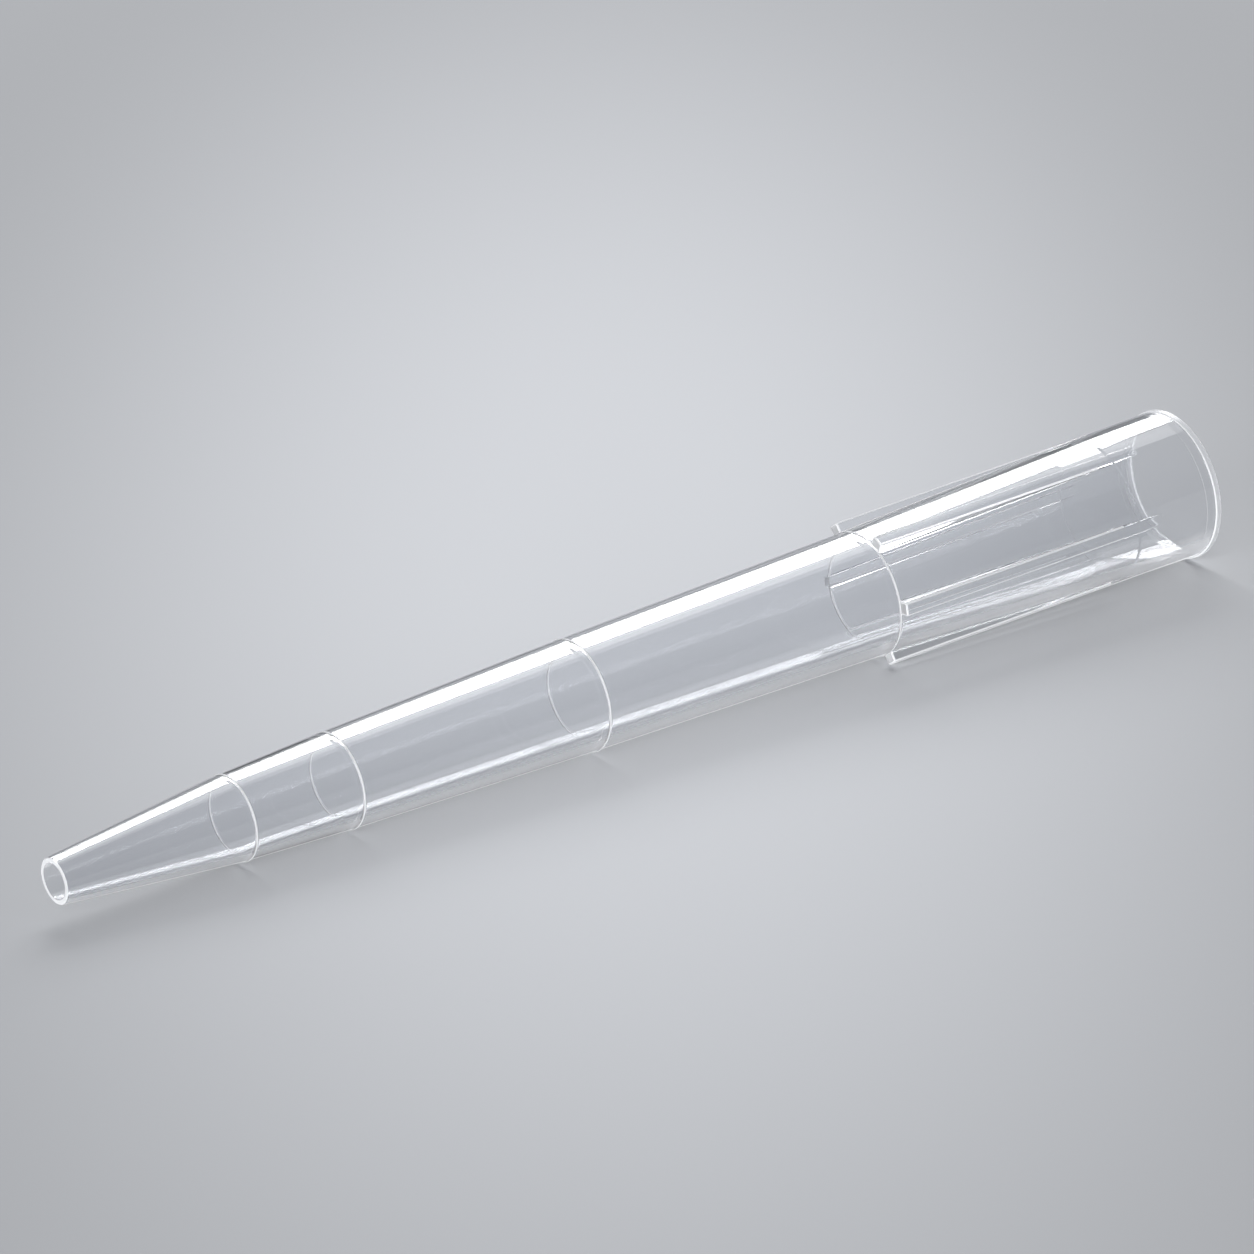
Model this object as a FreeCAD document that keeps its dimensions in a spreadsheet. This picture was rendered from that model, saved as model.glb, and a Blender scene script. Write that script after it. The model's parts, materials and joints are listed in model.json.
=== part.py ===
import FreeCAD, Part
import math
import os

import Sketcher
from FreeCAD import Placement, Rotation, Vector

# A one-piece pipette tip for volumes up to 1000 microlitres, moulded in clear polypropylene.
# It is drawn along its own axis, X, from the orifice to the mouth, and then laid down at rest.
# Sizes are in millimetres. Stations along the axis are measured from the orifice end.
SIZES = [
    ("overall_length", 76.0),  # orifice end to mouth end
    # the four graduation marks: the station of each mark's crest
    ("mark_100_at", 11.4),
    ("mark_200_at", 18.2),
    ("mark_500_at", 34.2),
    ("mark_1000_at", 53.8),
    # outside diameters of the wall
    ("orifice_outer_dia", 2.66),
    ("mark_100_outer_dia", 4.9),
    ("mark_200_outer_dia", 5.54),
    ("mark_500_outer_dia", 6.48),
    ("mark_1000_outer_dia", 7.26),
    # each mark is a low moulded ridge with a flat crest and flanks at 45 degrees
    ("mark_crest_width", 0.08),
    ("mark_height", 0.05),
    ("mark_foot_depth", 0.2),  # how deep the ridges are rooted in the wall
    # the collar flares up to a nearly straight stretch below the rim
    ("collar_straight_length", 4.0),
    ("collar_straight_dia", 8.52),
    ("collar_mouth_dia", 8.6),
    ("rim_width", 0.4),
    ("rim_dia", 8.8),
    ("rim_edge_radius", 0.08),
    ("orifice_edge_chamfer", 0.05),
    # bore for the liquid
    ("orifice_bore_dia", 2.1),
    ("mark_100_bore_dia", 4.3),
    ("mark_1000_bore_dia", 6.04),
    # socket that a pipette's nose cone seals in
    ("seal_depth", 5.6),  # mouth end to the near end of the sealing land
    ("seal_length", 3.0),
    ("seal_bore_dia", 7.44),
    ("seal_step", 0.08),  # how far the land stands in from the socket above it
    ("lead_in_depth", 0.85),
    ("lead_in_bore_dia", 8.0),
    ("mouth_bore_dia", 8.24),
    # ribs along the collar: they hang the tip in its rack and stop it rolling
    ("rib_count", 6),
    ("rib_width", 0.8),
    ("rib_height", 0.63),  # above the wall at the top mark; the ribs keep that distance from the axis
    ("rib_edge_radius", 0.15),
    ("rib_runout", 2.6),  # mouth end to the hidden upper ends of the ribs
    ("rib_foot_depth", 0.3),  # how deep the ribs are rooted in the wall at the top mark
]
MARKS = ("mark_100", "mark_200", "mark_500", "mark_1000")
RIB_TIP = "Sizes.mark_1000_outer_dia / 2 + Sizes.rib_height"  # the axis to a rib's outer face
TOUCH = 1e-6  # supports this near to the floor touch it
LABEL = "pipette_tip"

doc = FreeCAD.newDocument("PipetteTip")


def make_sheet():
    """The spreadsheet that holds the driving sizes, one alias to a row."""
    sheet = doc.addObject("Spreadsheet::Sheet", "Sizes")
    for row, (alias, value) in enumerate(SIZES, start=1):
        sheet.set(f"A{row}", alias.replace("_", " "))
        sheet.set(f"B{row}", str(value))
        sheet.setAlias(f"B{row}", alias)
    doc.recompute()


def origin_plane(body, role):
    """One of the body's own origin planes, such as XZ_Plane."""
    return next(feature for feature in body.Origin.OriginFeatures if feature.Role == role)


def new_sketch(body, name, role):
    sketch = body.newObject("Sketcher::SketchObject", name)
    sketch.AttachmentSupport = [(origin_plane(body, role), "")]
    sketch.MapMode = "FlatFace"
    return sketch


def value_of(sketch, expression):
    """What an expression of the sheet's sizes comes to, as a plain number."""
    found = sketch.evalExpression(expression)
    return float(getattr(found, "Value", found))


def place_point(sketch, edge, end, across, up):
    """Holds one end of an edge at two distances from the sketch's origin, each an expression."""
    for kind, expression in (("DistanceX", across), ("DistanceY", up)):
        number = sketch.addConstraint(
            Sketcher.Constraint(kind, -1, 1, edge, end, value_of(sketch, expression))
        )
        sketch.setExpression(f"Constraints[{number}]", expression)


def bind_radius(sketch, edge, expression):
    number = sketch.addConstraint(
        Sketcher.Constraint("Radius", edge, value_of(sketch, expression))
    )
    sketch.setExpression(f"Constraints[{number}]", expression)


def add_outline(sketch, corners):
    """A closed outline of straight edges through corners, each a pair of expressions."""
    points = [Vector(value_of(sketch, across), value_of(sketch, up), 0) for across, up in corners]
    first = sketch.GeometryCount
    for start, end in zip(points, points[1:] + points[:1]):
        sketch.addGeometry(Part.LineSegment(start, end), False)
    last = sketch.GeometryCount - 1
    for edge in range(first, last):
        sketch.addConstraint(Sketcher.Constraint("Coincident", edge, 2, edge + 1, 1))
    sketch.addConstraint(Sketcher.Constraint("Coincident", last, 2, first, 1))
    for edge, (across, up) in enumerate(corners, start=first):
        place_point(sketch, edge, 1, across, up)


def revolve(body, kind, name, sketch):
    """A full turn of a sketch about the tip's axis, added or cut away."""
    feature = body.newObject(kind, name)
    feature.Profile = sketch
    feature.ReferenceAxis = (sketch, ["H_Axis"])
    feature.Angle = 360
    doc.recompute()
    return feature


def outer_form(body):
    """The outside of the tip as a solid: nose, chamber, flared collar and rim."""
    sketch = new_sketch(body, "OuterSection", "XZ_Plane")
    add_outline(
        sketch,
        [
            ("0", "0"),
            ("0", "Sizes.orifice_outer_dia / 2"),
            ("Sizes.mark_100_at", "Sizes.mark_100_outer_dia / 2"),
            ("Sizes.mark_200_at", "Sizes.mark_200_outer_dia / 2"),
            ("Sizes.mark_500_at", "Sizes.mark_500_outer_dia / 2"),
            ("Sizes.mark_1000_at", "Sizes.mark_1000_outer_dia / 2"),
            ("Sizes.overall_length - Sizes.collar_straight_length", "Sizes.collar_straight_dia / 2"),
            ("Sizes.overall_length - Sizes.rim_width", "Sizes.collar_mouth_dia / 2"),
            ("Sizes.overall_length - Sizes.rim_width", "Sizes.rim_dia / 2"),
            ("Sizes.overall_length", "Sizes.rim_dia / 2"),
            ("Sizes.overall_length", "0"),
        ],
    )
    return revolve(body, "PartDesign::Revolution", "OuterForm", sketch)


def graduation_marks(body):
    """The four low ridges that mark 100, 200, 500 and 1000 microlitres."""
    sketch = new_sketch(body, "MarkSections", "XZ_Plane")
    half = "Sizes.mark_crest_width / 2"
    spread = f"({half} + Sizes.mark_height + Sizes.mark_foot_depth)"
    for mark in MARKS:
        station = f"Sizes.{mark}_at"
        foot = f"Sizes.{mark}_outer_dia / 2 - Sizes.mark_foot_depth"
        crest = f"Sizes.{mark}_outer_dia / 2 + Sizes.mark_height"
        add_outline(
            sketch,
            [
                (f"{station} - {spread}", foot),
                (f"{station} - {half}", crest),
                (f"{station} + {half}", crest),
                (f"{station} + {spread}", foot),
            ],
        )
    return revolve(body, "PartDesign::Revolution", "GraduationMarks", sketch)


def collar_ribs(body):
    """Square-ended ribs round the collar, from the top mark up to where the flare meets them."""
    sketch = new_sketch(body, "RibSection", "YZ_Plane")
    half = "Sizes.rib_width / 2"
    side = f"{half} - Sizes.rib_edge_radius"
    shoulder = f"{RIB_TIP} - Sizes.rib_edge_radius"
    foot = "Sizes.mark_1000_outer_dia / 2 - Sizes.rib_foot_depth"
    # a rib that hangs straight down: two sides, two rounded edges and a flat tip
    low, wide, near, far, deep = (
        value_of(sketch, text) for text in (foot, half, side, shoulder, RIB_TIP)
    )
    radius = wide - near
    path = [
        Part.LineSegment(Vector(-wide, -low, 0), Vector(-wide, -far, 0)),
        quarter_turn(Vector(-near, -far, 0), radius, math.pi),
        Part.LineSegment(Vector(-near, -deep, 0), Vector(near, -deep, 0)),
        quarter_turn(Vector(near, -far, 0), radius, 1.5 * math.pi),
        Part.LineSegment(Vector(wide, -far, 0), Vector(wide, -low, 0)),
        Part.LineSegment(Vector(wide, -low, 0), Vector(-wide, -low, 0)),
    ]
    for edge in path:
        sketch.addGeometry(edge, False)
    for edge, following in ((0, 1), (1, 2), (2, 3), (3, 4)):
        sketch.addConstraint(Sketcher.Constraint("Tangent", edge, 2, following, 1))
    sketch.addConstraint(Sketcher.Constraint("Coincident", 4, 2, 5, 1))
    sketch.addConstraint(Sketcher.Constraint("Coincident", 5, 2, 0, 1))
    sketch.addConstraint(Sketcher.Constraint("Vertical", 0))
    sketch.addConstraint(Sketcher.Constraint("Horizontal", 2))
    sketch.addConstraint(Sketcher.Constraint("Vertical", 4))
    place_point(sketch, 0, 1, f"-({half})", f"-({foot})")
    place_point(sketch, 5, 1, half, f"-({foot})")
    place_point(sketch, 2, 1, f"-({side})", f"-({RIB_TIP})")
    bind_radius(sketch, 3, "Sizes.rib_edge_radius")
    sketch.setExpression("AttachmentOffset.Base.z", "Sizes.mark_1000_at")
    doc.recompute()

    rib = body.newObject("PartDesign::Pad", "Rib")
    rib.Profile = sketch
    rib.setExpression("Length", "Sizes.overall_length - Sizes.rib_runout - Sizes.mark_1000_at")
    doc.recompute()
    ring = body.newObject("PartDesign::PolarPattern", "Ribs")
    ring.Originals = [rib]
    ring.Axis = (origin_plane(body, "X_Axis"), [""])
    ring.Angle = 360
    ring.setExpression("Occurrences", "Sizes.rib_count")
    body.Tip = ring
    doc.recompute()
    return ring


def quarter_turn(centre, radius, start):
    """An arc of 90 degrees, anticlockwise from the angle start."""
    circle = Part.Circle(centre, Vector(0, 0, 1), radius)
    return Part.ArcOfCircle(circle, start, start + math.pi / 2)


def bore(body):
    """The through bore: orifice, chamber, socket, sealing land and the lead-in at the mouth."""
    sketch = new_sketch(body, "BoreSection", "XZ_Plane")
    seal_top = "Sizes.overall_length - Sizes.seal_depth"
    seal_bottom = f"{seal_top} - Sizes.seal_length"
    add_outline(
        sketch,
        [
            ("0", "0"),
            ("0", "Sizes.orifice_bore_dia / 2"),
            ("Sizes.mark_100_at", "Sizes.mark_100_bore_dia / 2"),
            ("Sizes.mark_1000_at", "Sizes.mark_1000_bore_dia / 2"),
            (seal_bottom, "Sizes.seal_bore_dia / 2"),
            (seal_top, "Sizes.seal_bore_dia / 2"),
            (f"{seal_top} + Sizes.seal_step", "Sizes.seal_bore_dia / 2 + Sizes.seal_step"),
            ("Sizes.overall_length - Sizes.lead_in_depth", "Sizes.lead_in_bore_dia / 2"),
            ("Sizes.overall_length", "Sizes.mouth_bore_dia / 2"),
            ("Sizes.overall_length", "0"),
        ],
    )
    return revolve(body, "PartDesign::Groove", "Bore", sketch)


def ease_edges(body, kind, name, solid, diameter, size):
    """Fillets or chamfers the circular edges of one diameter: the rim's two, or the orifice's one."""
    radius = value_of(body, f"{diameter} / 2")
    names = [
        f"Edge{number}"
        for number, edge in enumerate(solid.Shape.Edges, start=1)
        if isinstance(edge.Curve, Part.Circle) and math.isclose(edge.Curve.Radius, radius)
    ]
    feature = body.newObject(kind, name)
    feature.Base = (solid, names)
    feature.setExpression("Radius" if kind.endswith("Fillet") else "Size", size)
    doc.recompute()
    return feature


def supports(body):
    """Where the tip can touch a floor below it: stations, each with its depth below the axis."""
    found = [
        ("Sizes.orifice_edge_chamfer", "Sizes.orifice_outer_dia / 2"),
        ("Sizes.overall_length - Sizes.rim_width + Sizes.rim_edge_radius", "Sizes.rim_dia / 2"),
        ("Sizes.overall_length - Sizes.rim_edge_radius", "Sizes.rim_dia / 2"),
        (
            "Sizes.mark_1000_at",
            f"({RIB_TIP} - Sizes.rib_edge_radius) * cos(180 deg / Sizes.rib_count)"
            " + (Sizes.rib_width / 2 - Sizes.rib_edge_radius) * sin(180 deg / Sizes.rib_count)"
            " + Sizes.rib_edge_radius",
        ),
    ]
    for mark in MARKS:
        crest = f"Sizes.{mark}_outer_dia / 2 + Sizes.mark_height"
        found.append((f"Sizes.{mark}_at - Sizes.mark_crest_width / 2", crest))
        found.append((f"Sizes.{mark}_at + Sizes.mark_crest_width / 2", crest))
    return [(value_of(body, at), value_of(body, depth)) for at, depth in found]


def clears(low, high, touching):
    """True if no support reaches below the line through these two."""
    slope = (high[1] - low[1]) / (high[0] - low[0])
    return all(depth <= low[1] + slope * (at - low[0]) + TOUCH for at, depth in touching)


def lay_down(body):
    """Lays the tip on the two supports that its centre of mass lies between, above the origin."""
    balance = body.Shape.CenterOfGravity.x
    touching = supports(body)
    low, high = next(
        (low, high)
        for low in touching
        for high in touching
        if low[0] < balance < high[0] and clears(low, high, touching)
    )
    tilt = math.atan2(high[1] - low[1], high[0] - low[0])
    # rolled half a pitch, so that two ribs straddle the bottom, and then tilted
    roll = Rotation(Vector(1, 0, 0), value_of(body, "180 / Sizes.rib_count"))
    turn = Rotation(Vector(0, 1, 0), -math.degrees(tilt)) * roll
    body.Placement = Placement(Vector(0, 0, 0), turn)
    doc.recompute()
    box = body.Shape.optimalBoundingBox(False)
    body.Placement = Placement(Vector(-box.Center.x, -box.Center.y, -box.ZMin), turn)
    doc.recompute()
    return low[0], high[0], math.degrees(tilt)


def check(body):
    """Stops if a feature failed or the solid isn't sound."""
    for part in doc.Objects:
        if {"Invalid", "Error"} & set(part.State):
            raise RuntimeError(f"{part.Name} failed: {part.State}")
    shape = body.Shape
    if shape.isNull() or not shape.isValid() or len(shape.Solids) != 1:
        raise RuntimeError(f"{body.Label} is not one sound solid")


def make_tip():
    body = doc.addObject("PartDesign::Body", "PipetteTip")
    body.Label = LABEL
    outer = outer_form(body)
    marked = graduation_marks(body)
    ribbed = collar_ribs(body)
    hollow = bore(body)
    rimmed = ease_edges(
        body, "PartDesign::Fillet", "RimEdges", hollow, "Sizes.rim_dia", "Sizes.rim_edge_radius"
    )
    ended = ease_edges(
        body,
        "PartDesign::Chamfer",
        "OrificeEdge",
        rimmed,
        "Sizes.orifice_outer_dia",
        "Sizes.orifice_edge_chamfer",
    )
    growing = [feature.Shape.Volume for feature in (outer, marked, ribbed)]
    shrinking = [feature.Shape.Volume for feature in (ended, rimmed, hollow, ribbed)]
    if growing != sorted(set(growing)) or shrinking != sorted(set(shrinking)):
        raise RuntimeError("a feature added or cut nothing")
    return body


make_sheet()
tip = make_tip()
rear, front, tilt = lay_down(tip)
check(tip)
os.makedirs("parts", exist_ok=True)
tip.Shape.exportStep(f"parts/{tip.Label}.step")
print(f"{tip.Label}: {tip.Shape.Volume:.1f} mm3, {tilt:.3f} degrees, on {rear} and {front}")
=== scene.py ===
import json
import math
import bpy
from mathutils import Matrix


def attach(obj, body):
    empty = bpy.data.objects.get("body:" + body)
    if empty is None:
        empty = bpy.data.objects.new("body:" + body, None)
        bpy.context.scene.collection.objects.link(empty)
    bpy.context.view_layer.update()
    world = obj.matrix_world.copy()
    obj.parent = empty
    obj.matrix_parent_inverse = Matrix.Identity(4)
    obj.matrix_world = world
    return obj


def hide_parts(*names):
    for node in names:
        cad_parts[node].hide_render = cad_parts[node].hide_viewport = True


bl_info = {
    "name": "Clear Pipette Tip",
    "version": (1, 0, 0),
    "blender": (4, 5, 0),
    "location": "View3D > Sidebar > Pipette Tip",
    "description": "Models a clear moulded pipette tip and the plain studio it is shown in",
    "category": "Add Mesh",
}

import bmesh
import bpy
import numpy as np
from bpy.props import FloatProperty, FloatVectorProperty, IntProperty, PointerProperty
from mathutils import Matrix, Vector

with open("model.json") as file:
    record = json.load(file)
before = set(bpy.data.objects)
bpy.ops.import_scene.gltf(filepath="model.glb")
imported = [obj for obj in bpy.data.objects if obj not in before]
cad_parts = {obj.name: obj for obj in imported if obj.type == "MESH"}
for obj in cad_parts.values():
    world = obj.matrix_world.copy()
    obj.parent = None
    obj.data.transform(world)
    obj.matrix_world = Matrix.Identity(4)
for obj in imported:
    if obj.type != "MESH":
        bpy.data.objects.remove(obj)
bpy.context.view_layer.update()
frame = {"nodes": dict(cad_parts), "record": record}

MM = 0.001
CAD_NODE = "pipette_tip"
TIP_PIECE = "clear_tip"


# ---------------------------------------------------------------- helpers


def from_hex(text):
    """The linear colour of an sRGB hex value."""
    channels = [int(text[at : at + 2], 16) / 255 for at in (0, 2, 4)]
    return [c / 12.92 if c <= 0.04045 else ((c + 0.055) / 1.055) ** 2.4 for c in channels]


def size(name, description, millimetres):
    """A length the user may change, given in millimetres."""
    return FloatProperty(
        name=name,
        description=description,
        default=millimetres * MM,
        unit="LENGTH",
        precision=5,
    )


def add_node(tree, kind, settings=None, **inputs):
    """Adds a node. Settings are its attributes; inputs are values or sockets to link.

    An input goes by its name, with _ for a space, or by its place, such as _0 for the first.
    """
    node = tree.nodes.new(kind)
    for name, value in (settings or {}).items():
        setattr(node, name, value)
    for name, value in inputs.items():
        socket = node.inputs[int(name[1:])] if name[1:].isdigit() else node.inputs[name.replace("_", " ")]
        if isinstance(value, bpy.types.NodeSocket):
            tree.links.new(value, socket)
        else:
            socket.default_value = value
    return node


def new_material(name):
    """A material whose node tree is still empty."""
    material = bpy.data.materials.new(name)
    material.use_nodes = True
    material.node_tree.nodes.clear()
    return material


def link_new(name, data):
    """An object for the data, linked to the scene."""
    thing = bpy.data.objects.new(name, data)
    bpy.context.scene.collection.objects.link(thing)
    return thing


# ---------------------------------------------------------------- what a user may change


class TipSizes(bpy.types.PropertyGroup):
    """Sizes of the tip in its own frame: stations along the axis from the orifice end, and diameters."""

    mark_stations: FloatVectorProperty(
        name="Mark stations",
        description="Where the 100, 200, 500 and 1000 microlitre rings stand",
        size=4,
        unit="LENGTH",
        default=[11.4 * MM, 18.2 * MM, 34.2 * MM, 53.8 * MM],
    )
    mark_diameters: FloatVectorProperty(
        name="Wall at the marks",
        description="Outside diameter of the wall under each ring",
        size=4,
        unit="LENGTH",
        default=[4.9 * MM, 5.54 * MM, 6.48 * MM, 7.26 * MM],
    )
    mark_height: size("Mark height", "How far a ring stands out of the wall", 0.05)
    mark_crest: size("Mark crest", "Width of a ring's crest", 0.08)
    orifice_outer: size("Orifice, outside", "Outside diameter of the orifice end", 2.66)
    orifice_bore: size("Orifice, bore", "Bore of the orifice end", 2.1)
    lower_bore: size("Lower bore", "Bore at the 100 microlitre ring", 4.3)
    upper_bore: size("Upper bore", "Bore at the 1000 microlitre ring", 6.04)
    seal_bore: size("Seal bore", "Bore of the sealing land", 7.44)
    seal_depth: size("Seal depth", "Mouth to the near end of the sealing land", 5.6)
    seal_length: size("Seal length", "Length of the sealing land", 3.0)
    seal_step: size("Seal step", "How far the land stands in from the socket", 0.08)
    lead_in_depth: size("Lead-in depth", "Depth of the lead-in at the mouth", 0.85)
    lead_in_bore: size("Lead-in bore", "Bore at the foot of the lead-in", 8.0)
    mouth_bore: size("Mouth bore", "Bore at the mouth end", 8.24)
    collar_straight: size("Straight collar", "Length of the nearly straight stretch", 4.0)
    collar_outer: size("Collar, outside", "Outside diameter where the flare ends", 8.52)
    collar_mouth: size("Collar at the rim", "Outside diameter below the rim", 8.6)
    rim_width: size("Rim width", "Width of the rim", 0.4)
    rim_outer: size("Rim, outside", "Outside diameter of the rim", 8.8)
    rim_round: size("Rim rounding", "Radius of the rim's edges", 0.08)
    rib_count: IntProperty(name="Ribs", description="Ribs round the collar", default=6, min=1)
    rib_width: size("Rib width", "Width of a rib", 0.8)
    rib_height: size("Rib height", "Height of a rib above the wall at the top ring", 0.63)
    rib_edge: size("Rib edge", "Radius of a rib's long edges", 0.15)
    rib_end: size("Rib end", "Radius round a rib's lower end", 0.09)
    rib_root: size("Rib root", "Radius of the fillet between a rib and the wall", 0.08)


class TipFinish(bpy.types.PropertyGroup):
    """Finish of the moulding: clear, with white satin and stoned skins that are painted highlight, and a
    white haze that is partly so.
    """

    # white haze at a slant and edge on: partly the plastic's own haze, partly painted highlight
    wall_haze_painted_highlight: FloatProperty(
        name="Wall haze", description="Share of white haze where the wall is seen at a slant", default=0.3
    )
    edge_haze_painted_highlight: FloatProperty(
        name="Edge haze", description="Share of white haze where the wall is seen edge on", default=0.9
    )
    tint: FloatVectorProperty(
        name="Tint",
        description="Colour that the clear plastic gives to what shows through it",
        subtype="COLOR",
        default=from_hex("F5F6F8"),
    )
    ior: FloatProperty(name="IOR", description="Refractive index", default=1.49, min=1.0)
    roughness: FloatProperty(
        name="Roughness", description="Roughness of the polished surface", default=0.02, min=0.0
    )
    shade_facing: FloatProperty(
        name="Light let through, facing",
        description="Share of the light that one face passes where it faces the lamp",
        default=0.87,
    )
    shade_edge: FloatProperty(
        name="Light let through, edge",
        description="Share of the light that one face passes where it is edge on to the lamp",
        default=0.82,
    )
    # the white of the painted highlights on the satin and stoned faces and in the haze, how much of its light
    # comes from behind, and how see-through the satin one is
    painted_highlight_colour: FloatVectorProperty(
        name="Satin colour",
        description="Colour of the white skin on satin and stoned faces, and of the haze",
        subtype="COLOR",
        default=from_hex("F8F9FB"),
    )
    painted_highlight_through: FloatProperty(
        name="Light through satin",
        description="Share of the satin skin's light that comes from behind it",
        default=0.35,
    )
    painted_highlight_clear: FloatProperty(
        name="Clearness of satin", description="Share of the satin skin that is see-through", default=0.12
    )
    # share of the white painted highlight veiled over the stoned faces
    painted_highlight_veil: FloatProperty(
        name="Veil", description="Share of white skin on the stoned faces", default=0.4
    )


class StageLook(bpy.types.PropertyGroup):
    """Floor, light and camera."""

    floor_colour: FloatVectorProperty(
        name="Floor",
        description="Colour of the board that the tip lies on",
        subtype="COLOR",
        default=from_hex("CBCDD1"),
    )
    # painted shade: how much of the floor's colour is left at the rim of the painted pool of light
    painted_pool_edge: FloatProperty(
        name="Floor shading",
        description="How much of the floor's colour is left at the rim of the lit pool",
        default=0.59,
    )
    # the painted pool of light on the floor: its centre, bearing and half sizes
    painted_pool_centre: FloatVectorProperty(
        name="Pool centre",
        description="Where the floor is palest",
        size=3,
        unit="LENGTH",
        subtype="XYZ",
        default=[16.4 * MM, 25.5 * MM, 0.0],
    )
    painted_pool_bearing: FloatProperty(
        name="Pool bearing",
        description="Turn of the pool's long side about Z, from +Y",
        subtype="ANGLE",
        default=math.radians(-32.9),
    )
    painted_pool_width: size("Pool half width", "Half of the pool's short side", 54.0)
    painted_pool_length: size("Pool half length", "Half of the pool's long side", 175.0)
    floor_span: size("Floor span", "Side of the square floor", 4000.0)
    key_distance: size("Key distance", "Key softbox to the tip", 1300.0)
    key_width: size("Key width", "Key softbox, along the tip", 860.0)
    key_height: size("Key height", "Key softbox, across the tip", 650.0)
    key_along: FloatProperty(
        name="Key, along",
        description="How far the key softbox leans from square across the tip towards its mouth",
        subtype="ANGLE",
        default=math.radians(31.0),
    )
    key_rise: FloatProperty(
        name="Key elevation",
        description="Height of the key softbox above level, seen along the tip",
        subtype="ANGLE",
        default=math.radians(38.0),
    )
    key_radiance: FloatProperty(
        name="Key radiance", description="Brightness of the key softbox's face, 1 is white", default=10.0
    )
    fill_distance: size("Fill distance", "Fill softbox to the tip", 900.0)
    fill_width: size("Fill width", "Fill softbox, level side", 900.0)
    fill_height: size("Fill height", "Fill softbox, other side", 700.0)
    fill_along: FloatProperty(
        name="Fill, along",
        description="How far the fill softbox leans from square across the tip, negative towards the orifice",
        subtype="ANGLE",
        default=math.radians(-50.0),
    )
    fill_rise: FloatProperty(
        name="Fill elevation",
        description="Height of the fill softbox above level, seen along the tip, past 90 on the near side",
        subtype="ANGLE",
        default=math.radians(163.0),
    )
    fill_radiance: FloatProperty(
        name="Fill radiance", description="Brightness of the fill softbox's face, 1 is white", default=6.8
    )
    card_radiance: FloatProperty(
        name="Card radiance", description="Brightness of the card above the key softbox", default=1.4
    )
    card_height: size("Card height", "Card above the key softbox, across the tip", 520.0)
    card_rise: FloatProperty(
        name="Card elevation",
        description="Height of the card above level, seen along the tip",
        subtype="ANGLE",
        default=math.radians(69.0),
    )
    world_colour: FloatVectorProperty(
        name="Surroundings",
        description="Colour of the room round the tip",
        subtype="COLOR",
        default=from_hex("74767A"),
    )
    camera_aim: FloatVectorProperty(
        name="Aim",
        description="Point that the middle of the picture looks at",
        size=3,
        unit="LENGTH",
        subtype="XYZ",
        default=[0.573 * MM, 1.034 * MM, 5.848 * MM],
    )
    camera_distance: size("Camera distance", "Camera to the point it aims at", 577.89)
    camera_bearing: FloatProperty(
        name="Bearing",
        description="Turn of the view about Z, from looking along +Y",
        subtype="ANGLE",
        default=math.radians(-32.929),
    )
    camera_rise: FloatProperty(
        name="Elevation",
        description="How far the camera stands above level",
        subtype="ANGLE",
        default=math.radians(18.847),
    )
    camera_roll: FloatProperty(
        name="Roll",
        description="Turn about the view's own line",
        subtype="ANGLE",
        default=math.radians(-5.892),
    )
    camera_lens: FloatProperty(
        name="Lens", description="Focal length", subtype="DISTANCE_CAMERA", default=300.0
    )


# ---------------------------------------------------------------- the tip's shape


LOW_MARK, TOP_MARK = 0, 3  # the 100 and the 1000 microlitre ring in the lists of marks

# radii at the corners of the moulding's section
ORIFICE_ROUND = 0.06 * MM  # outer edge of the orifice
ORIFICE_BORE_ROUND = 0.02 * MM  # inner edge of the orifice
MARK_ROUND = 0.08 * MM  # foot and crest of a ring
FLARE_ROUND = 30 * MM  # bend from the flare to the nearly straight collar
RIM_FOOT_ROUND = 0.05 * MM  # corner under the rim
MOUTH_ROUND = 0.05 * MM  # inner edge of the mouth
LEAD_IN_ROUND = 0.4 * MM  # foot of the lead-in
SEAL_ROUND = 0.06 * MM  # both corners of the step to the sealing land
LAND_ROUND = 2 * MM  # bend from the land to the socket
BORE_ROUND = 10 * MM  # bend from one taper of the bore to the next

ARC_STEPS = 3  # chords in one rounding
ARC_REACH = 0.49  # the most of a stretch that one rounding takes up
STRAIGHT = 1e-6  # turn in radians below which a corner is left as it is


def tip_axes():
    """The tip's own frame: origin at the orifice end, X along the axis to the mouth."""
    seat = next(m for m in frame["record"]["mounts"] if m["name"] == "nose_cone_seat")
    axis = Vector(seat["axis"]).normalized()
    centre = Vector(seat["pos_m"])
    along = [(vertex.co - centre).dot(axis) for vertex in frame["nodes"][CAD_NODE].data.vertices]
    side = Vector((0, 1, 0))
    turn = Matrix((axis, side, axis.cross(side))).transposed().to_4x4()
    place = Matrix.Translation(centre + axis * min(along)) @ turn
    return place, max(along) - min(along)


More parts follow.
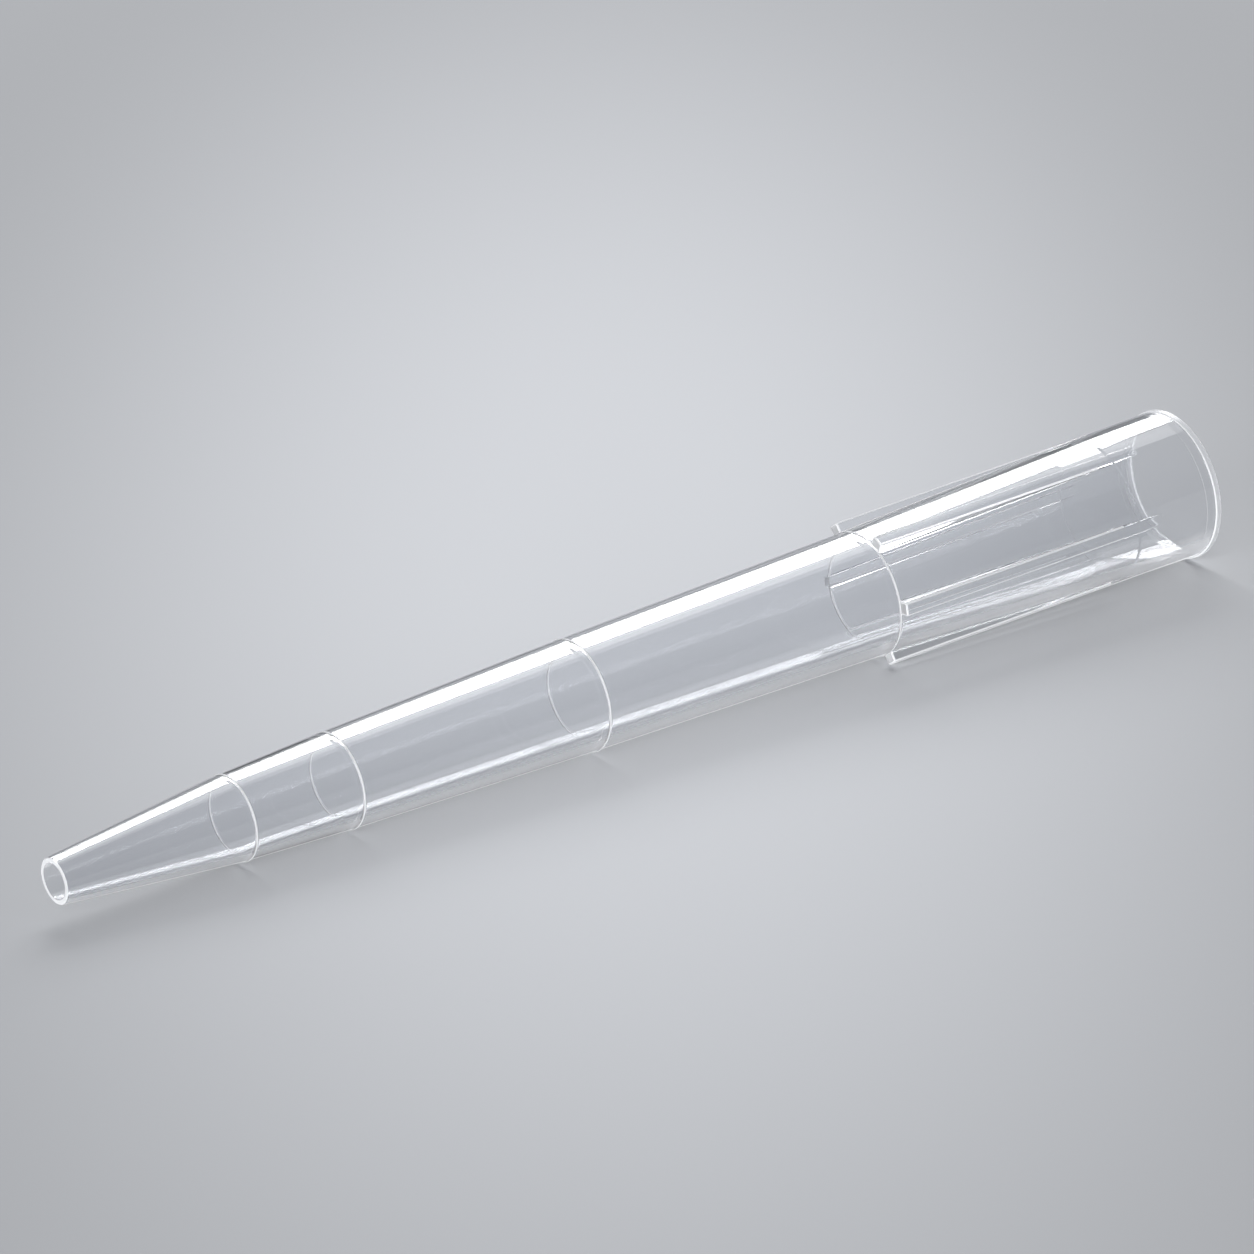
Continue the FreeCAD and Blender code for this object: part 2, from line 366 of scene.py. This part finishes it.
def eased(corners):
    """An open outline whose corners are rounded: each is (station, radius, rounding)."""
    path = [corners[0][:2]]
    for before, (x, y, radius), after in zip(corners, corners[1:], corners[2:]):
        here = np.array((x, y))
        back = np.array(before[:2]) - here
        on = np.array(after[:2]) - here
        reach = min(np.linalg.norm(back), np.linalg.norm(on)) * ARC_REACH
        back = back / np.linalg.norm(back)
        on = on / np.linalg.norm(on)
        turn = math.pi - math.acos(np.clip(back @ on, -1, 1))
        tangent = min(radius * math.tan(turn / 2), reach)
        if turn < STRAIGHT or tangent == 0:
            path.append((x, y))
            continue
        radius = tangent / math.tan(turn / 2)
        middle = here + (back + on) / np.linalg.norm(back + on) * radius / math.cos(turn / 2)
        first = here + back * tangent - middle
        across = here + on * tangent - middle
        # each spoke of the arc is a spherical blend of the first and the last one
        for step in range(ARC_STEPS + 1):
            share = step / ARC_STEPS
            spoke = first * math.sin((1 - share) * turn) + across * math.sin(share * turn)
            path.append(tuple(middle + spoke / math.sin(turn)))
    path.append(corners[-1][:2])
    return path


def outside_outline(tip, length):
    """The outside of the wall from the orifice's edge to the mouth, without ribs."""
    corners = [(0.0, tip.orifice_bore / 2, 0.0), (0.0, tip.orifice_outer / 2, ORIFICE_ROUND)]
    half = tip.mark_crest / 2
    foot = half + tip.mark_height
    for station, diameter in zip(tip.mark_stations, tip.mark_diameters):
        wall = diameter / 2
        crest = wall + tip.mark_height
        corners += [
            (station - foot, wall, MARK_ROUND),
            (station - half, crest, MARK_ROUND),
            (station + half, crest, MARK_ROUND),
            (station + foot, wall, MARK_ROUND),
        ]
    rim = length - tip.rim_width
    corners += [
        (length - tip.collar_straight, tip.collar_outer / 2, FLARE_ROUND),
        (rim, tip.collar_mouth / 2, RIM_FOOT_ROUND),
        (rim, tip.rim_outer / 2, tip.rim_round),
        (length, tip.rim_outer / 2, tip.rim_round),
        (length, tip.mouth_bore / 2, 0.0),
    ]
    return eased(corners)


def inside_outline(tip, length):
    """The bore from the mouth back to the orifice."""
    seal_top = length - tip.seal_depth
    corners = [
        (length, tip.rim_outer / 2, 0.0),
        (length, tip.mouth_bore / 2, MOUTH_ROUND),
        (length - tip.lead_in_depth, tip.lead_in_bore / 2, LEAD_IN_ROUND),
        (seal_top + tip.seal_step, tip.seal_bore / 2 + tip.seal_step, SEAL_ROUND),
        (seal_top, tip.seal_bore / 2, SEAL_ROUND),
        (seal_top - tip.seal_length, tip.seal_bore / 2, LAND_ROUND),
        (tip.mark_stations[TOP_MARK], tip.upper_bore / 2, BORE_ROUND),
        (tip.mark_stations[LOW_MARK], tip.lower_bore / 2, BORE_ROUND),
        (0.0, tip.orifice_bore / 2, ORIFICE_BORE_ROUND),
        (0.0, tip.orifice_outer / 2, 0.0),
    ]
    return eased(corners)


ROW_SPACING = 2.4 * MM  # the most between two rows
HOLDS = [0.05 * MM, 0.4 * MM]  # distances from a corner that get a row too
HOLD_SHARE = 0.3  # the most of a stretch that a hold takes up


def with_rows(outline, spacing, holds):
    """The outline with points added so that no stretch is longer than the spacing.

    The holds are distances from a stretch's ends that get a point too. They keep the shading of a
    rounded corner from spreading into the straight wall beside it.
    """
    path = [outline[0]]
    for start, end in zip(outline, outline[1:]):
        run = math.dist(start, end)
        near = [hold for hold in holds if hold < HOLD_SHARE * run]
        first, last = (near[-1], run - near[-1]) if near else (0.0, run)
        pieces = max(1, math.ceil((last - first) / spacing))
        inner = [first + (last - first) * piece / pieces for piece in range(pieces + 1)]
        for along in sorted(set(near + inner + [run - hold for hold in near] + [run])):
            if along > 0:
                share = along / run
                path.append(tuple(a + (b - a) * share for a, b in zip(start, end)))
    return path


RIB_FILLET = 5  # points round one root fillet
RIB_SIDE = 4  # points along one side of a rib
RIB_CORNER = 5  # points round one long edge
RIB_CREST = 3  # points across half of the crest
RIB_HALF = RIB_FILLET + RIB_SIDE + RIB_CORNER + RIB_CREST  # points across half of a rib
RIB_BASE = 5  # points across half of a rib's place in a row that has no ribs
WALL_SPAN = 43  # points on the wall between two ribs

EDGE_HOLD = 0.05 * MM  # how far past its rounding a rib's long edge has one more line of points
LEAST_FILLET = 1e-7  # metres; a smaller root fillet is left out
SLACK = 1e-9  # metres; lengths that differ by less are the same
STATION_DIGITS = 9  # stations are rounded to this many digits of a metre

RIB_END_TURNS = [0, 20, 40, 60, 90]  # degrees round the edge of a rib's lower end that get a row
RUN_OUT = 5 * MM  # length below the straight collar where the ribs run out into the flare
RUN_OUT_ROWS = 12  # extra rows there
RIB_FADE = 0.1 * MM  # rib height below which its edges no longer carry the satin painted highlight
RIB_GONE = 0.004 * MM  # rib height below which the row is plain wall
RIM_CLEAR = 0.1 * MM  # the rows that can hold ribs end this far below the rim

POLISHED, SATIN_PAINTED_HIGHLIGHT, STONED_PAINTED_HIGHLIGHT = range(3)  # the moulding's finishes, in the order of its material slots; the satin and the stoned one carry white skins painted as highlight

END_EDGE = 0.03 * MM  # how far along the axis the satin painted highlight at the edge of the orifice and of the mouth reaches
LEAD_IN_FOOT = 0.02 * MM  # half width of the stoned line, a painted highlight, at the foot of the lead-in
RIM_PAINTED_HIGHLIGHT_FOOT = 0.02 * MM  # the rim's satin painted highlight starts this far below the rim
RIM_PAINTED_HIGHLIGHT_TOP = 0.01 * MM  # and ends this far below the mouth
RIM_BAND_FOOT = 0.6  # the rim's stoned band, a painted highlight, starts this many edge radii above the rim's foot
RIM_BAND_TOP = 1.2  # and ends this many edge radii below the mouth


def half_rib(wall, half, tip_radius, edge, root):
    """Half of a rib's section, from the wall to the middle of the crest, as (across, up) points.

    The groups always hold the same number of points, so that every row of the mesh has the same columns.
    Where the wall has grown past a group, its points fall together on the root.
    """
    shoulder = tip_radius - edge
    lift = math.sqrt(max(wall**2 - half**2, 0.0))
    points = []
    fillet = min(root, (shoulder - lift) / 2)
    if fillet > LEAST_FILLET:
        middle = (half + fillet, math.sqrt((wall + fillet) ** 2 - (half + fillet) ** 2))
        start = math.atan2(middle[1], middle[0]) + math.pi
        for share in np.linspace(0, 1, RIB_FILLET):
            angle = start + (math.pi - start) * share
            points.append(
                (middle[0] + fillet * math.cos(angle), middle[1] + fillet * math.sin(angle))
            )
        lift = middle[1]
    else:
        points += [None] * RIB_FILLET
    hold = min(EDGE_HOLD, HOLD_SHARE * max(shoulder - lift, 0.0))
    side = [(half, up) for up in (lift, lift + hold, shoulder - hold, shoulder)]
    if lift >= shoulder:
        side = [None] * RIB_SIDE
    points += side
    arc = []
    for share in np.linspace(0, 1, RIB_CORNER + 1)[1:]:
        angle = share * math.pi / 2
        arc.append((half - edge + edge * math.cos(angle), shoulder + edge * math.sin(angle)))
    points += arc
    flat = half - edge - EDGE_HOLD
    points += [(across * flat, tip_radius) for across in np.linspace(1, 0, RIB_CREST)]
    outline = [(half, shoulder)] + arc + [(0.0, tip_radius)]
    root_point = first_outside(outline, wall, half, lift, shoulder)
    return [
        root_point if point is None or math.hypot(*point) < wall - SLACK else point
        for point in points
    ]


def first_outside(outline, wall, half, lift, shoulder):
    """Where a rib's outline comes out of the wall."""
    if lift < shoulder:
        return (half, lift)
    for start, end in zip(outline, outline[1:]):
        near, far = math.hypot(*start), math.hypot(*end)
        if near <= wall < far:
            share = (wall - near) / (far - near)
            return tuple(a + (b - a) * share for a, b in zip(start, end))
    return (0.0, wall)


def rib_crest(tip):
    """Radius of the ribs' crests, which is the same all along them."""
    return tip.mark_diameters[TOP_MARK] / 2 + tip.rib_height


def row_points(tip, station, radius, inset):
    """One row of the mesh round the axis.

    Inset is None in a row without ribs. Otherwise it is how far the rib's section is drawn in.
    """
    count = tip.rib_count
    half = tip.rib_width / 2
    crest = rib_crest(tip)
    base = math.asin(min(1.0, (half + tip.rib_root) / (tip.mark_diameters[TOP_MARK] / 2)))
    if inset is None:
        rib = []
        for share in np.linspace(-1, 1, 2 * RIB_HALF - 1):
            angle = base * round(share * RIB_BASE) / RIB_BASE
            rib.append((radius * math.sin(angle), radius * math.cos(angle)))
    else:
        side = half_rib(radius, half - inset, crest - inset, tip.rib_edge - inset, tip.rib_root)
        rib = [(-x, y) for x, y in side] + side[-2::-1]
    edge_angle = math.atan2(rib[-1][0], rib[-1][1])
    pitch = 2 * math.pi / count
    ring = []
    for number in range(count):
        # two ribs straddle the underside, so the first rib stands half a pitch off straight down
        middle = math.pi + pitch / 2 + number * pitch
        for across, up in rib:
            ring.append(
                (
                    across * math.cos(middle) + up * math.sin(middle),
                    up * math.cos(middle) - across * math.sin(middle),
                )
            )
        for share in np.linspace(0, 1, WALL_SPAN + 2)[1:-1]:
            angle = middle + edge_angle + (pitch - 2 * edge_angle) * share
            ring.append((radius * math.sin(angle), radius * math.cos(angle)))
    return [(station, y, z) for y, z in ring]


def rib_columns(tip, rib, wall):
    """The finishes round one row: the rib's are given for half a rib, from its root to its middle."""
    return (rib + rib[::-1] + [wall] * (WALL_SPAN + 1)) * tip.rib_count


def even_columns(tip, rib, wall):
    """The finishes round one row whose ribs have one finish all over."""
    return rib_columns(tip, [rib] * (RIB_HALF - 1), wall)


def wall_finish(tip, station):
    """The outer wall's finish: satin painted highlight on the rings' crests and at the orifice, a stoned veil
    of painted highlight on the rings' flanks.
    """
    off_mark = min(abs(station - mark) for mark in tip.mark_stations) - tip.mark_crest / 2
    if off_mark < 0 or station < END_EDGE:
        return SATIN_PAINTED_HIGHLIGHT
    return STONED_PAINTED_HIGHLIGHT if off_mark < tip.mark_height else POLISHED


def rim_finish(tip, length, station):
    """The rim's finish: a stoned band between two satin edges, all three painted highlight."""
    rim = length - tip.rim_width
    if rim + RIM_BAND_FOOT * tip.rim_round < station < length - RIM_BAND_TOP * tip.rim_round:
        return STONED_PAINTED_HIGHLIGHT
    return SATIN_PAINTED_HIGHLIGHT if rim - RIM_PAINTED_HIGHLIGHT_FOOT < station < length - RIM_PAINTED_HIGHLIGHT_TOP else POLISHED


def ribbed_rows(tip, length, stations, radii):
    """The rows of the outside below the rim, with the ribs where they stand out of the wall."""
    rib_start = tip.mark_stations[TOP_MARK]
    crest = rib_crest(tip)
    fade = length - tip.collar_straight
    rim = length - tip.rim_width
    extra = [rib_start + tip.rib_end * (1 - math.cos(turn)) for turn in np.radians(RIB_END_TURNS)]
    extra += list(np.linspace(fade - RUN_OUT, fade, RUN_OUT_ROWS))
    knots = sorted(set(np.round(np.concatenate([stations, extra]), STATION_DIGITS)))
    # the ribs' rounded long edges carry the satin painted highlight
    edged = [POLISHED] * (RIB_FILLET + RIB_SIDE) + [SATIN_PAINTED_HIGHLIGHT] * (RIB_CORNER - 2) + [POLISHED] * (RIB_CREST + 1)
    rows = []
    for station, after in zip(knots, knots[1:] + [rim]):
        radius = float(np.interp(station, stations, radii))
        wall = wall_finish(tip, (station + after) / 2)
        gone = radius > crest - RIB_GONE
        if station < rib_start + SLACK or gone:
            rows.append((row_points(tip, station, radius, None), even_columns(tip, wall, wall)))
        if abs(station - rib_start) < SLACK:
            # two rows in one plane make the ribs' flat lower ends, with a stoned veil of painted highlight
            rows[-1] = (rows[-1][0], even_columns(tip, STONED_PAINTED_HIGHLIGHT, POLISHED))
            rows.append((row_points(tip, station, radius, tip.rib_end), even_columns(tip, SATIN_PAINTED_HIGHLIGHT, wall)))
        elif station > rib_start and not gone:
            past = min(station - rib_start, tip.rib_end)
            inset = tip.rib_end - math.sqrt(tip.rib_end**2 - (tip.rib_end - past) ** 2)
            # the rounding round a rib's lower end carries the satin painted highlight
            if inset > 0:
                finish = even_columns(tip, SATIN_PAINTED_HIGHLIGHT, wall)
            elif crest - radius > RIB_FADE:
                finish = rib_columns(tip, edged, wall)
            else:
                finish = even_columns(tip, POLISHED, POLISHED)
            rows.append((row_points(tip, station, radius, inset), finish))
    return rows


def outside_rows(tip, length):
    """The rows of the outside and the finishes of the band that follows each."""
    # The points added on a flat end reach past the other outline's first point. So the shell doubles
    # back there, by 0.18 mm on the mouth's face and by 0.004 mm on the orifice's, and polished and
    # satin bands share the plane of the mouth.
    outline = with_rows(outside_outline(tip, length), ROW_SPACING, HOLDS)[1:-1]
    stations, radii = np.array(outline).T
    ribbed = stations < length - tip.rim_width - RIM_CLEAR
    rows = ribbed_rows(tip, length, stations[ribbed], radii[ribbed])
    for station, radius in zip(stations[~ribbed].tolist(), radii[~ribbed].tolist()):
        finish = rim_finish(tip, length, station)
        rows.append((row_points(tip, station, radius, None), even_columns(tip, finish, finish)))
    return rows


def inside_rows(tip, length):
    """The rows of the bore, from the mouth, and the finishes of the band that follows each."""
    outline = with_rows(inside_outline(tip, length), ROW_SPACING, HOLDS)[1:-1]
    lead_in = length - tip.lead_in_depth
    rows = []
    for (station, radius), (after, _) in zip(outline, outline[1:] + [(0.0, 0.0)]):
        middle = (station + after) / 2
        # satin painted highlight on the mouth's inner edge and the orifice's face, a stoned line of painted
        # highlight at the foot of the lead-in
        if middle > length - END_EDGE or after == 0.0:
            finish = SATIN_PAINTED_HIGHLIGHT
        elif abs(middle - lead_in) < LEAD_IN_FOOT:
            finish = STONED_PAINTED_HIGHLIGHT
        else:
            finish = POLISHED
        rows.append((row_points(tip, station, radius, None), even_columns(tip, finish, finish)))
    return rows


MERGE = 0.0004 * MM  # points nearer to each other than this become one
THIN_FACE = 0.0002 * MM  # faces thinner than this are taken out
SHARP = math.radians(38)  # an edge that turns more than this keeps a hard line


def shell_mesh(name, rows, place):
    """A closed shell from rows of points: each row closes on itself, and the last joins the first."""
    points = np.array([points for points, finish in rows])
    finishes = np.array([finish for points, finish in rows])
    high, wide = points.shape[:2]
    mesh = bpy.data.meshes.new(name)
    index = np.arange(high * wide).reshape(high, wide)
    right = np.roll(index, -1, axis=1)
    faces = np.stack(
        [index, right, np.roll(right, -1, axis=0), np.roll(index, -1, axis=0)], axis=-1
    ).reshape(-1, 4)
    mesh.from_pydata(points.reshape(-1, 3).tolist(), [], faces.tolist())
    mesh.polygons.foreach_set("material_index", finishes.reshape(-1).astype("i"))
    mesh.transform(place)
    work = bmesh.new()
    work.from_mesh(mesh)
    bmesh.ops.remove_doubles(work, verts=work.verts, dist=MERGE)
    bmesh.ops.dissolve_degenerate(work, edges=work.edges, dist=THIN_FACE)
    bmesh.ops.recalc_face_normals(work, faces=work.faces)
    for face in work.faces:
        face.smooth = True
    work.to_mesh(mesh)
    work.free()
    mesh.set_sharp_from_angle(angle=SHARP)
    return mesh


# ---------------------------------------------------------------- materials


# how far the wall is turned away, 0 facing to 1 edge on, where each haze starts and where it is full; the
# white haze is partly the plastic's own and partly painted highlight on the slanted wall and the silhouettes
WALL_HAZE_FROM, WALL_HAZE_FULL = 0.4, 0.56
EDGE_HAZE_FROM, EDGE_HAZE_FULL = 0.8, 0.9

SATIN_ROUGHNESS = 0.45  # from a steel face with a fine tooth
STONED_ROUGHNESS = 0.25  # from a steel face that was stoned and not polished

CARD_ROUGHNESS = 0.9
CARD_SPECULAR = 0.2  # a matt coat reflects less than the usual 0.5
CARD_GRAIN = 0.6 * MM  # width of one grain, coarser than real card so that it shows
GRAIN_HEIGHT = 0.01 * MM
GRAIN_STRENGTH = 0.15
PAINTED_POOL_TOP = 0.91  # share of the way in from the painted pool of light's edge where the floor reaches its own colour


def painted_highlight_skin(tree, finish):
    """A white skin, painted highlight, that scatters light from in front of it and from behind it."""
    front = add_node(tree, "ShaderNodeBsdfDiffuse", Color=(*finish.painted_highlight_colour, 1.0))
    behind = add_node(tree, "ShaderNodeBsdfTranslucent", Color=(*finish.painted_highlight_colour, 1.0))
    both = add_node(
        tree, "ShaderNodeMixShader", _0=finish.painted_highlight_through, _1=front.outputs[0], _2=behind.outputs[0]
    )
    return both.outputs[0]


def clear_polypropylene(finish):
    """Clarified polypropylene, injection moulded in a polished mould.

    It is water clear with a trace of cold haze, and its skin is as smooth as the steel it left. The white
    haze grows where more plastic lies in the line of sight, and most of all where the wall is edge on; it is
    partly the plastic's own and partly painted highlight, which lightens the lower wall and draws pale lines
    along the silhouettes.
    Its shadow is that of a thin clear wall: pale where the wall faces the lamp, darker where it is
    edge on.
    """
    material = new_material("clarified_polypropylene_moulded")
    tree = material.node_tree
    body = add_node(
        tree,
        "ShaderNodeBsdfPrincipled",
        Base_Color=(*finish.tint, 1.0),
        Roughness=finish.roughness,
        IOR=finish.ior,
        Transmission_Weight=1.0,
    )
    # white haze by how far the wall is turned away: partly real haze, partly painted highlight on the slanted
    # wall and along the silhouettes
    facing = add_node(tree, "ShaderNodeLayerWeight", Blend=0.5)
    beyond = add_node(tree, "ShaderNodeBsdfTranslucent", Color=(*finish.painted_highlight_colour, 1.0))
    thick = add_node(
        tree,
        "ShaderNodeMapRange",
        _0=facing.outputs["Facing"],
        _1=WALL_HAZE_FROM,
        _2=WALL_HAZE_FULL,
        _4=finish.wall_haze_painted_highlight,
    )
    edge = add_node(
        tree,
        "ShaderNodeMapRange",
        _0=facing.outputs["Facing"],
        _1=EDGE_HAZE_FROM,
        _2=EDGE_HAZE_FULL,
        _4=finish.edge_haze_painted_highlight,
    )
    haze = add_node(
        tree, "ShaderNodeMath", {"operation": "MAXIMUM"}, _0=thick.outputs[0], _1=edge.outputs[0]
    )
    hazy = add_node(
        tree,
        "ShaderNodeMixShader",
        _0=haze.outputs[0],
        _1=body.outputs[0],
        _2=beyond.outputs[0],
    )
    span = finish.shade_edge - finish.shade_facing
    share = add_node(
        tree,
        "ShaderNodeMath",
        {"operation": "MULTIPLY_ADD"},
        _0=facing.outputs["Facing"],
        _1=span,
        _2=finish.shade_facing,
    )
    passed = add_node(tree, "ShaderNodeBsdfTransparent", Color=share.outputs[0])
    path = add_node(tree, "ShaderNodeLightPath")
    soft = add_node(
        tree,
        "ShaderNodeMath",
        {"operation": "MAXIMUM"},
        _0=path.outputs["Is Shadow Ray"],
        _1=path.outputs["Is Diffuse Ray"],
    )
    mix = add_node(
        tree, "ShaderNodeMixShader", _0=soft.outputs[0], _1=hazy.outputs[0], _2=passed.outputs[0]
    )
    add_node(tree, "ShaderNodeOutputMaterial", Surface=mix.outputs[0])
    return material


def satin_painted_highlight(finish):
    """Clarified polypropylene moulded against unpolished steel.

    It is on the rings' crests, the rim's edges, the mouth's face and inner edge, the orifice's face
    and the ribs' rounded edges. The steel leaves a fine tooth, so the skin scatters light; its white
    is painted highlight, which shows these edges as pale lines.
    """
    material = new_material("clarified_polypropylene_satin_painted_highlight")
    tree = material.node_tree
    body = add_node(
        tree,
        "ShaderNodeBsdfPrincipled",
        Base_Color=(1.0, 1.0, 1.0, 1.0),
        Roughness=SATIN_ROUGHNESS,
        IOR=finish.ior,
        Transmission_Weight=1.0,
    )
    mix = add_node(
        tree, "ShaderNodeMixShader", _0=finish.painted_highlight_clear, _1=painted_highlight_skin(tree, finish), _2=body.outputs[0]
    )
    add_node(tree, "ShaderNodeOutputMaterial", Surface=mix.outputs[0])
    return material


def stoned_painted_highlight(finish):
    """Clarified polypropylene moulded against steel that was stoned and not polished.

    It is on the ribs' flat lower ends, the rings' flanks, the rim's band and the foot of the lead-in, and is
    half way between the polished and the satin skin: see-through, with a white veil of painted highlight over
    it.
    """
    material = new_material("clarified_polypropylene_stoned_painted_highlight")
    tree = material.node_tree
    body = add_node(
        tree,
        "ShaderNodeBsdfPrincipled",
        Base_Color=(*finish.tint, 1.0),
        Roughness=STONED_ROUGHNESS,
        IOR=finish.ior,
        Transmission_Weight=1.0,
    )
    mix = add_node(
        tree, "ShaderNodeMixShader", _0=finish.painted_highlight_veil, _1=body.outputs[0], _2=painted_highlight_skin(tree, finish)
    )
    add_node(tree, "ShaderNodeOutputMaterial", Surface=mix.outputs[0])
    return material


def matt_board_painted_pool(look):
    """Card with a matt coat: a pale cold grey with a fine tooth and no gloss to speak of.

    Its colour is darkened away from a pale pool: a painted pool of light, with painted shade towards its rim.
    """
    material = new_material("matt_coated_card")
    tree = material.node_tree
    place = add_node(tree, "ShaderNodeTexCoord")
    # painted pool of light: the floor's colour is scaled down away from the pool's centre, standing in for
    # the lamps' fall-off
    pool = add_node(
        tree,
        "ShaderNodeMapping",
        {"vector_type": "TEXTURE"},
        Vector=place.outputs["Object"],
        Location=look.painted_pool_centre,
        Rotation=(0.0, 0.0, look.painted_pool_bearing),
        Scale=(look.painted_pool_width, look.painted_pool_length, 1.0),
    )
    fall = add_node(tree, "ShaderNodeTexGradient", {"gradient_type": "SPHERICAL"}, Vector=pool.outputs[0])
    shade = add_node(
        tree,
        "ShaderNodeMapRange",
        {"interpolation_type": "SMOOTHSTEP"},
        _0=fall.outputs["Fac"],
        _2=PAINTED_POOL_TOP,
        _3=look.painted_pool_edge,
        _4=1.0,
    )
    colour = add_node(
        tree,
        "ShaderNodeVectorMath",
        {"operation": "SCALE"},
        _0=look.floor_colour,
        Scale=shade.outputs[0],
    )
    grain = add_node(
        tree,
        "ShaderNodeTexNoise",
        Vector=place.outputs["Object"],
        Scale=1 / CARD_GRAIN,
        Detail=3.0,
    )
    bump = add_node(
        tree,
        "ShaderNodeBump",
        Strength=GRAIN_STRENGTH,
        Distance=GRAIN_HEIGHT,
        Height=grain.outputs["Fac"],
    )
    body = add_node(
        tree,
        "ShaderNodeBsdfPrincipled",
        Base_Color=colour.outputs[0],
        Roughness=CARD_ROUGHNESS,
        Normal=bump.outputs[0],
    )
    body.inputs["Specular IOR Level"].default_value = CARD_SPECULAR
    add_node(tree, "ShaderNodeOutputMaterial", Surface=body.outputs[0])
    return material


# ---------------------------------------------------------------- operators


class TIP_OT_moulding(bpy.types.Operator):
    """Models the tip as one closed shell and gives it its clear finish"""

    bl_idname = "tip.moulding"
    bl_label = "Clear Tip"

    def execute(self, context):
        place, length = tip_axes()
        tip = context.scene.tip_sizes
        mesh = shell_mesh(TIP_PIECE, outside_rows(tip, length) + inside_rows(tip, length), place)
        for make_finish in (clear_polypropylene, satin_painted_highlight, stoned_painted_highlight):
            mesh.materials.append(make_finish(context.scene.tip_finish))
        piece = link_new(TIP_PIECE, mesh)
        normals = piece.modifiers.new("even_normals", "WEIGHTED_NORMAL")
        normals.keep_sharp = True
        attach(piece, "root")
        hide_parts(CAD_NODE)
        return {"FINISHED"}


def add_floor(look):
    """The square board that the tip lies on."""
    half = look.floor_span / 2
    corners = [(-half, -half, 0), (half, -half, 0), (half, half, 0), (-half, half, 0)]
    mesh = bpy.data.meshes.new("floor")
    mesh.from_pydata(corners, [], [(0, 1, 2, 3)])
    mesh.materials.append(matt_board_painted_pool(look))
    link_new("floor", mesh)


def add_softbox(name, along, rise, distance, width, height, radiance):
    """A rectangular lamp that faces the tip, its width in the plane of the tip's axis."""
    light = bpy.data.lights.new(name, "AREA")
    light.shape = "RECTANGLE"
    light.size = width
    light.size_y = height
    light.energy = radiance * math.pi * width * height
    lamp = link_new(name, light)
    square = Vector((0, math.cos(rise), math.sin(rise)))
    towards = square * math.cos(along) + Vector((math.sin(along), 0, 0))
    across = Vector((1, 0, 0)).cross(square)
    turn = Matrix((across.cross(towards), across, towards)).transposed().to_4x4()
    lamp.matrix_world = Matrix.Translation(towards * distance) @ turn
    lamp.visible_camera = False


def add_surroundings(look):
    """The room round the stage, one even grey."""
    world = bpy.data.worlds.new("studio")
    world.use_nodes = True
    tree = world.node_tree
    tree.nodes.clear()
    glow = add_node(tree, "ShaderNodeBackground", Color=(*look.world_colour, 1.0), Strength=1.0)
    add_node(tree, "ShaderNodeOutputWorld", Surface=glow.outputs[0])
    bpy.context.scene.world = world


SENSOR_WIDTH = 36.0  # millimetres
CLIP_START = 0.01  # metres, well short of the tip


def add_camera(look):
    """The camera, set back from the point that it aims at."""
    data = bpy.data.cameras.new("camera")
    data.lens = look.camera_lens
    data.sensor_width = SENSOR_WIDTH
    data.clip_start = CLIP_START
    camera = link_new("camera", data)
    level = math.cos(look.camera_rise)
    back = Vector(
        (
            math.sin(look.camera_bearing) * level,
            -math.cos(look.camera_bearing) * level,
            math.sin(look.camera_rise),
        )
    )
    turn = back.to_track_quat("Z", "Y").to_matrix().to_4x4()
    roll = Matrix.Rotation(look.camera_roll, 4, "Z")
    place = Matrix.Translation(Vector(look.camera_aim) + back * look.camera_distance)
    camera.matrix_world = place @ turn @ roll
    bpy.context.scene.camera = camera


class TIP_OT_stage(bpy.types.Operator):
    """Lays the floor and sets up the softboxes, the card, the surroundings and the camera"""

    bl_idname = "tip.stage"
    bl_label = "Stage"

    def execute(self, context):
        look = context.scene.tip_stage
        context.scene.view_settings.view_transform = "Standard"
        add_floor(look)
        add_softbox(
            "key_softbox",
            look.key_along,
            look.key_rise,
            look.key_distance,
            look.key_width,
            look.key_height,
            look.key_radiance,
        )
        add_softbox(
            "top_card",
            look.key_along,
            look.card_rise,
            look.key_distance,
            look.key_width,
            look.card_height,
            look.card_radiance,
        )
        add_softbox(
            "fill_softbox",
            look.fill_along,
            look.fill_rise,
            look.fill_distance,
            look.fill_width,
            look.fill_height,
            look.fill_radiance,
        )
        add_surroundings(look)
        add_camera(look)
        return {"FINISHED"}


class TIP_PT_panel(bpy.types.Panel):
    """Lists the tip's operators and what they read"""

    bl_idname = "TIP_PT_panel"
    bl_label = "Pipette Tip"
    bl_space_type = "VIEW_3D"
    bl_region_type = "UI"
    bl_category = "Pipette Tip"

    def draw(self, context):
        layout = self.layout
        scene = context.scene
        for operator in (TIP_OT_moulding, TIP_OT_stage):
            layout.operator(operator.bl_idname)
        for group in (scene.tip_sizes, scene.tip_finish, scene.tip_stage):
            box = layout.box()
            for name in group.__annotations__:
                box.prop(group, name)


CLASSES = (TipSizes, TipFinish, StageLook, TIP_OT_moulding, TIP_OT_stage, TIP_PT_panel)


def register():
    for kind in CLASSES:
        bpy.utils.register_class(kind)
    bpy.types.Scene.tip_sizes = PointerProperty(type=TipSizes)
    bpy.types.Scene.tip_finish = PointerProperty(type=TipFinish)
    bpy.types.Scene.tip_stage = PointerProperty(type=StageLook)


def unregister():
    del bpy.types.Scene.tip_stage
    del bpy.types.Scene.tip_finish
    del bpy.types.Scene.tip_sizes
    for kind in reversed(CLASSES):
        bpy.utils.unregister_class(kind)


def main():
    register()
    bpy.ops.tip.stage()
    bpy.ops.tip.moulding()
    bpy.context.view_layer.update()


if __name__ == "__main__":
    main()
